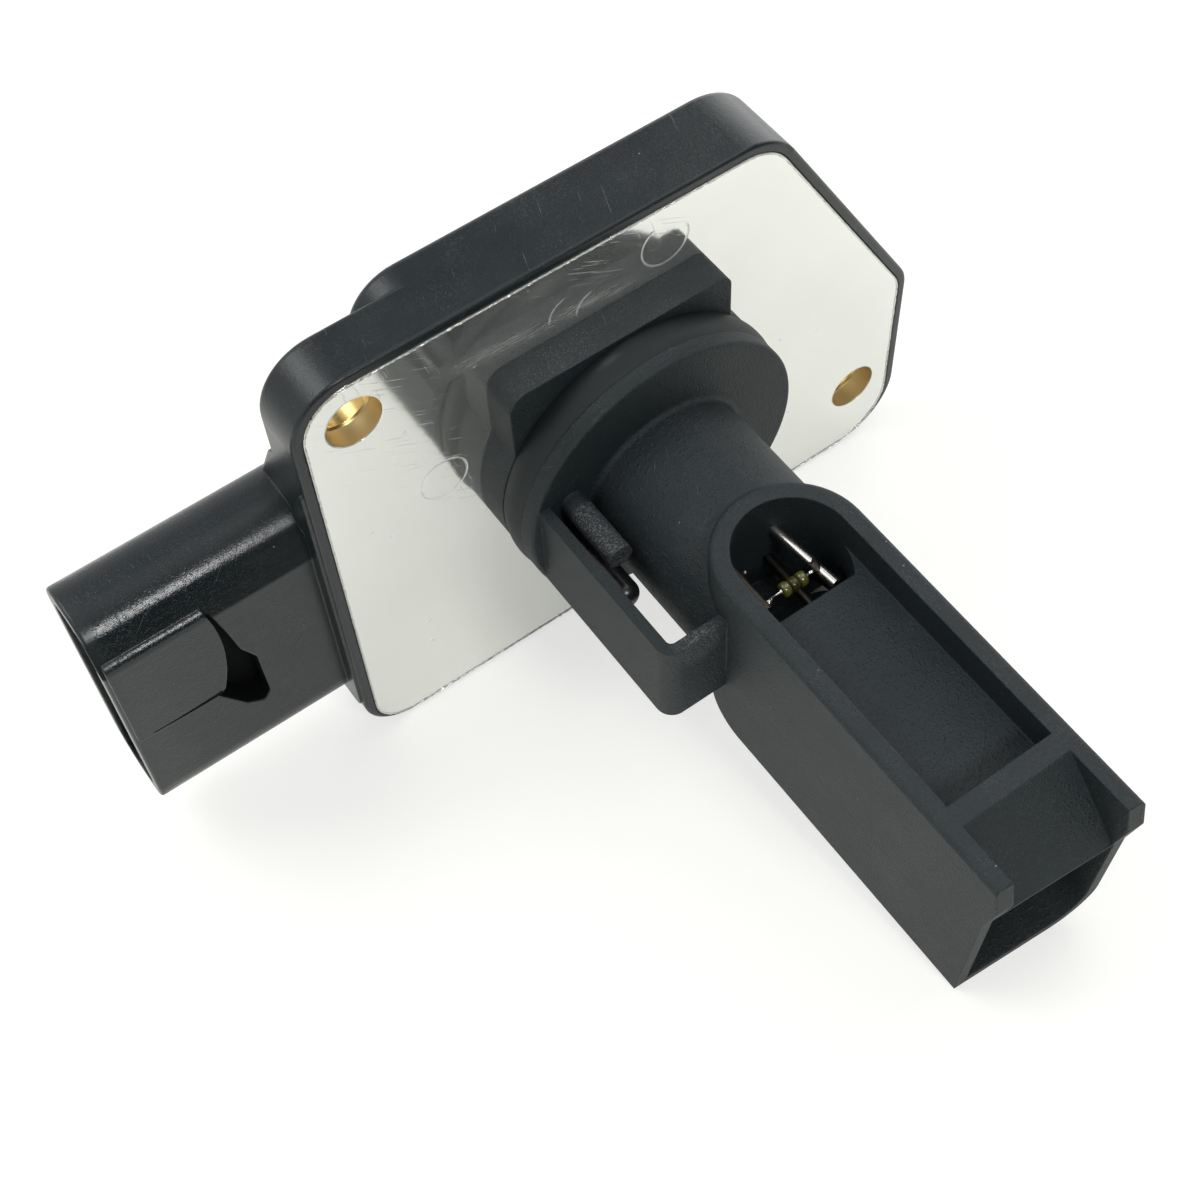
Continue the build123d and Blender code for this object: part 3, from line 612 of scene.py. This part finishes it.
# ---------------------------------------------------------------------------
# Air thermistor. A bead on two leads beside the tube, dipped in black epoxy,
# which sets glossy and uneven.
# ---------------------------------------------------------------------------
finish, shader, place = new_finish("dipped_epoxy")
runs = place.noise(700, 2)
set_sockets(place, shader, {
    "Base Color": runs.between((0.006, 0.0065, 0.008), (0.014, 0.015, 0.018)),
    "Roughness": 0.22 + runs * 0.12,
    "Normal": runs.bump(0.6, 0.00005),
})
dress(finish, "air_thermistor")


# ---------------------------------------------------------------------------
# Circuit and seal, shut in behind the plate: ceramic board, moulded chips and
# the bead of silicone under the cover.
# ---------------------------------------------------------------------------
for name, low, high, gloss, parts in (
    ("fired_ceramic", (0.70, 0.69, 0.64), (0.84, 0.83, 0.78), 0.5, ["circuit_board"]),
    ("chip_epoxy", (0.02, 0.02, 0.02), (0.04, 0.04, 0.04), 0.55, ["control_chip", "power_transistor"]),
    ("resistor_glaze", (0.02, 0.02, 0.03), (0.05, 0.05, 0.07), 0.3, ["chip_resistors"]),
    ("capacitor_body", (0.34, 0.24, 0.16), (0.46, 0.34, 0.24), 0.4, ["chip_capacitors"]),
    ("cured_silicone", (0.25, 0.25, 0.25), (0.36, 0.36, 0.36), 0.4, ["cover_seal"]),
):
    finish, shader, place = new_finish(name)
    mottle = place.noise(1200, 3)
    set_sockets(place, shader, {
        "Base Color": mottle.between(low, high),
        "Roughness": gloss + mottle * 0.15,
    })
    dress(finish, *parts)


# ---------------------------------------------------------------------------
# Table. A sheet of white card, close in front of the sensor, which lies on
# its housing's lower edge and the probe's tip, so the card leans in its frame.
# ---------------------------------------------------------------------------
lean = math.radians(15.7)
table_up = Vector((0, math.sin(lean), math.cos(lean)))
touch = min(table_up.dot(vertex.co) for node in nodes.values() for vertex in node.data.vertices)
left, right, front, back = -0.45, 0.5, -0.108, 0.6
mesh = bpy.data.meshes.new("table")
corners = [(left, front, 0), (right, front, 0), (right, back, 0), (left, back, 0)]
mesh.from_pydata(corners, [], [(0, 1, 2, 3)])
table = bpy.data.objects.new("table", mesh)
table.matrix_world = Matrix.Translation(table_up * touch) @ Matrix.Rotation(-lean, 4, "X")
bpy.context.scene.collection.objects.link(table)

finish, shader, place = new_finish("white_table")
set_sockets(place, shader, {"Base Color": (0.94, 0.942, 0.87, 1), "Roughness": 0.7})
glow = place.add("Emission", {}, {"Color": (1, 1, 1, 1), "Strength": 1.15})
seen, mirrored = (place.add("LightPath", output=f"Is {ray} Ray") for ray in ("Camera", "Glossy"))
card = Socket(place.tree, shader.outputs[0])
mixed = place.add("MixShader", {}, {0: seen * 0.52 + mirrored * 0.3, 1: card, 2: glow})
place.tree.links.new(mixed.output, place.tree.nodes["Material Output"].inputs[0])
mesh.materials.append(finish)


# ---------------------------------------------------------------------------
# Light. A white room with a dark doorway in front, a window at the right, a dark
# cupboard and a bright patch of ceiling, with a soft lamp over the front and a
# larger one behind.
# ---------------------------------------------------------------------------
world = bpy.data.worlds.new("white_room")
world.use_nodes = True
bpy.context.scene.world = world
sky = Socket(world.node_tree, None).add("TexCoord", output="Generated")
level = 0.8
for towards, rim, core, strength in (
    ((0.25, -0.95, 0.15), 0.3, 0.75, -0.74),  # doorway
    ((0.85, 0.52, 0.08), 0.8, 0.96, 1.5),  # window
    ((0.36, 0.6, 0.71), 0.955, 0.993, -0.75),  # cupboard
    ((0.55, 0.2, 0.81), 0.89, 0.985, 1.1),  # ceiling
):
    level = level + sky.dot(Vector(towards).normalized()).ramp((rim, 0), (core, 1)) * strength
shown = sky.add("LightPath", output="Is Camera Ray")
level = level * (1 - shown) + shown
background = world.node_tree.nodes["Background"]
background.inputs["Color"].default_value = (1, 1, 1, 1)
sky.tree.links.new(level.output, background.inputs["Strength"])


def soft_lamp(name, towards, distance, size, power):
    """Square lamp in this direction from the part, facing it."""
    light = bpy.data.lights.new(name, "AREA")
    light.size = size
    light.energy = power
    lamp = bpy.data.objects.new(name, light)
    direction = Vector(towards).normalized()
    facing = direction.to_track_quat("Z", "Y").to_matrix().to_4x4()
    lamp.matrix_world = Matrix.Translation(direction * distance) @ facing
    bpy.context.scene.collection.objects.link(lamp)


soft_lamp("front_lamp", (-0.01, -0.67, 0.74), 0.6, 0.12, 1.3)
soft_lamp("top_lamp", (-0.5, 0.6, 0.9), 0.8, 0.4, 1.6)


# ---------------------------------------------------------------------------
# Camera. It stands over the probe's left side, near the part and a little
# rolled, and looks down at the plate.
# ---------------------------------------------------------------------------
stand = (-0.0563, -0.0862, 0.1348)
turn, rise, roll = (math.radians(angle) for angle in (-30.703, 57.738, -5.216))
lens = bpy.data.cameras.new("camera")
lens.sensor_width = 36
lens.lens = 58.41
lens.shift_x = 0.0203
lens.shift_y = -0.0095
lens.clip_start = 0.005
camera = bpy.data.objects.new("camera", lens)
aim = Matrix.Rotation(turn, 4, "Z") @ Matrix.Rotation(math.pi / 2 - rise, 4, "X")
camera.matrix_world = Matrix.Translation(stand) @ aim @ Matrix.Rotation(roll, 4, "Z")
bpy.context.scene.collection.objects.link(camera)
bpy.context.scene.camera = camera
bpy.context.scene.view_settings.view_transform = "Standard"
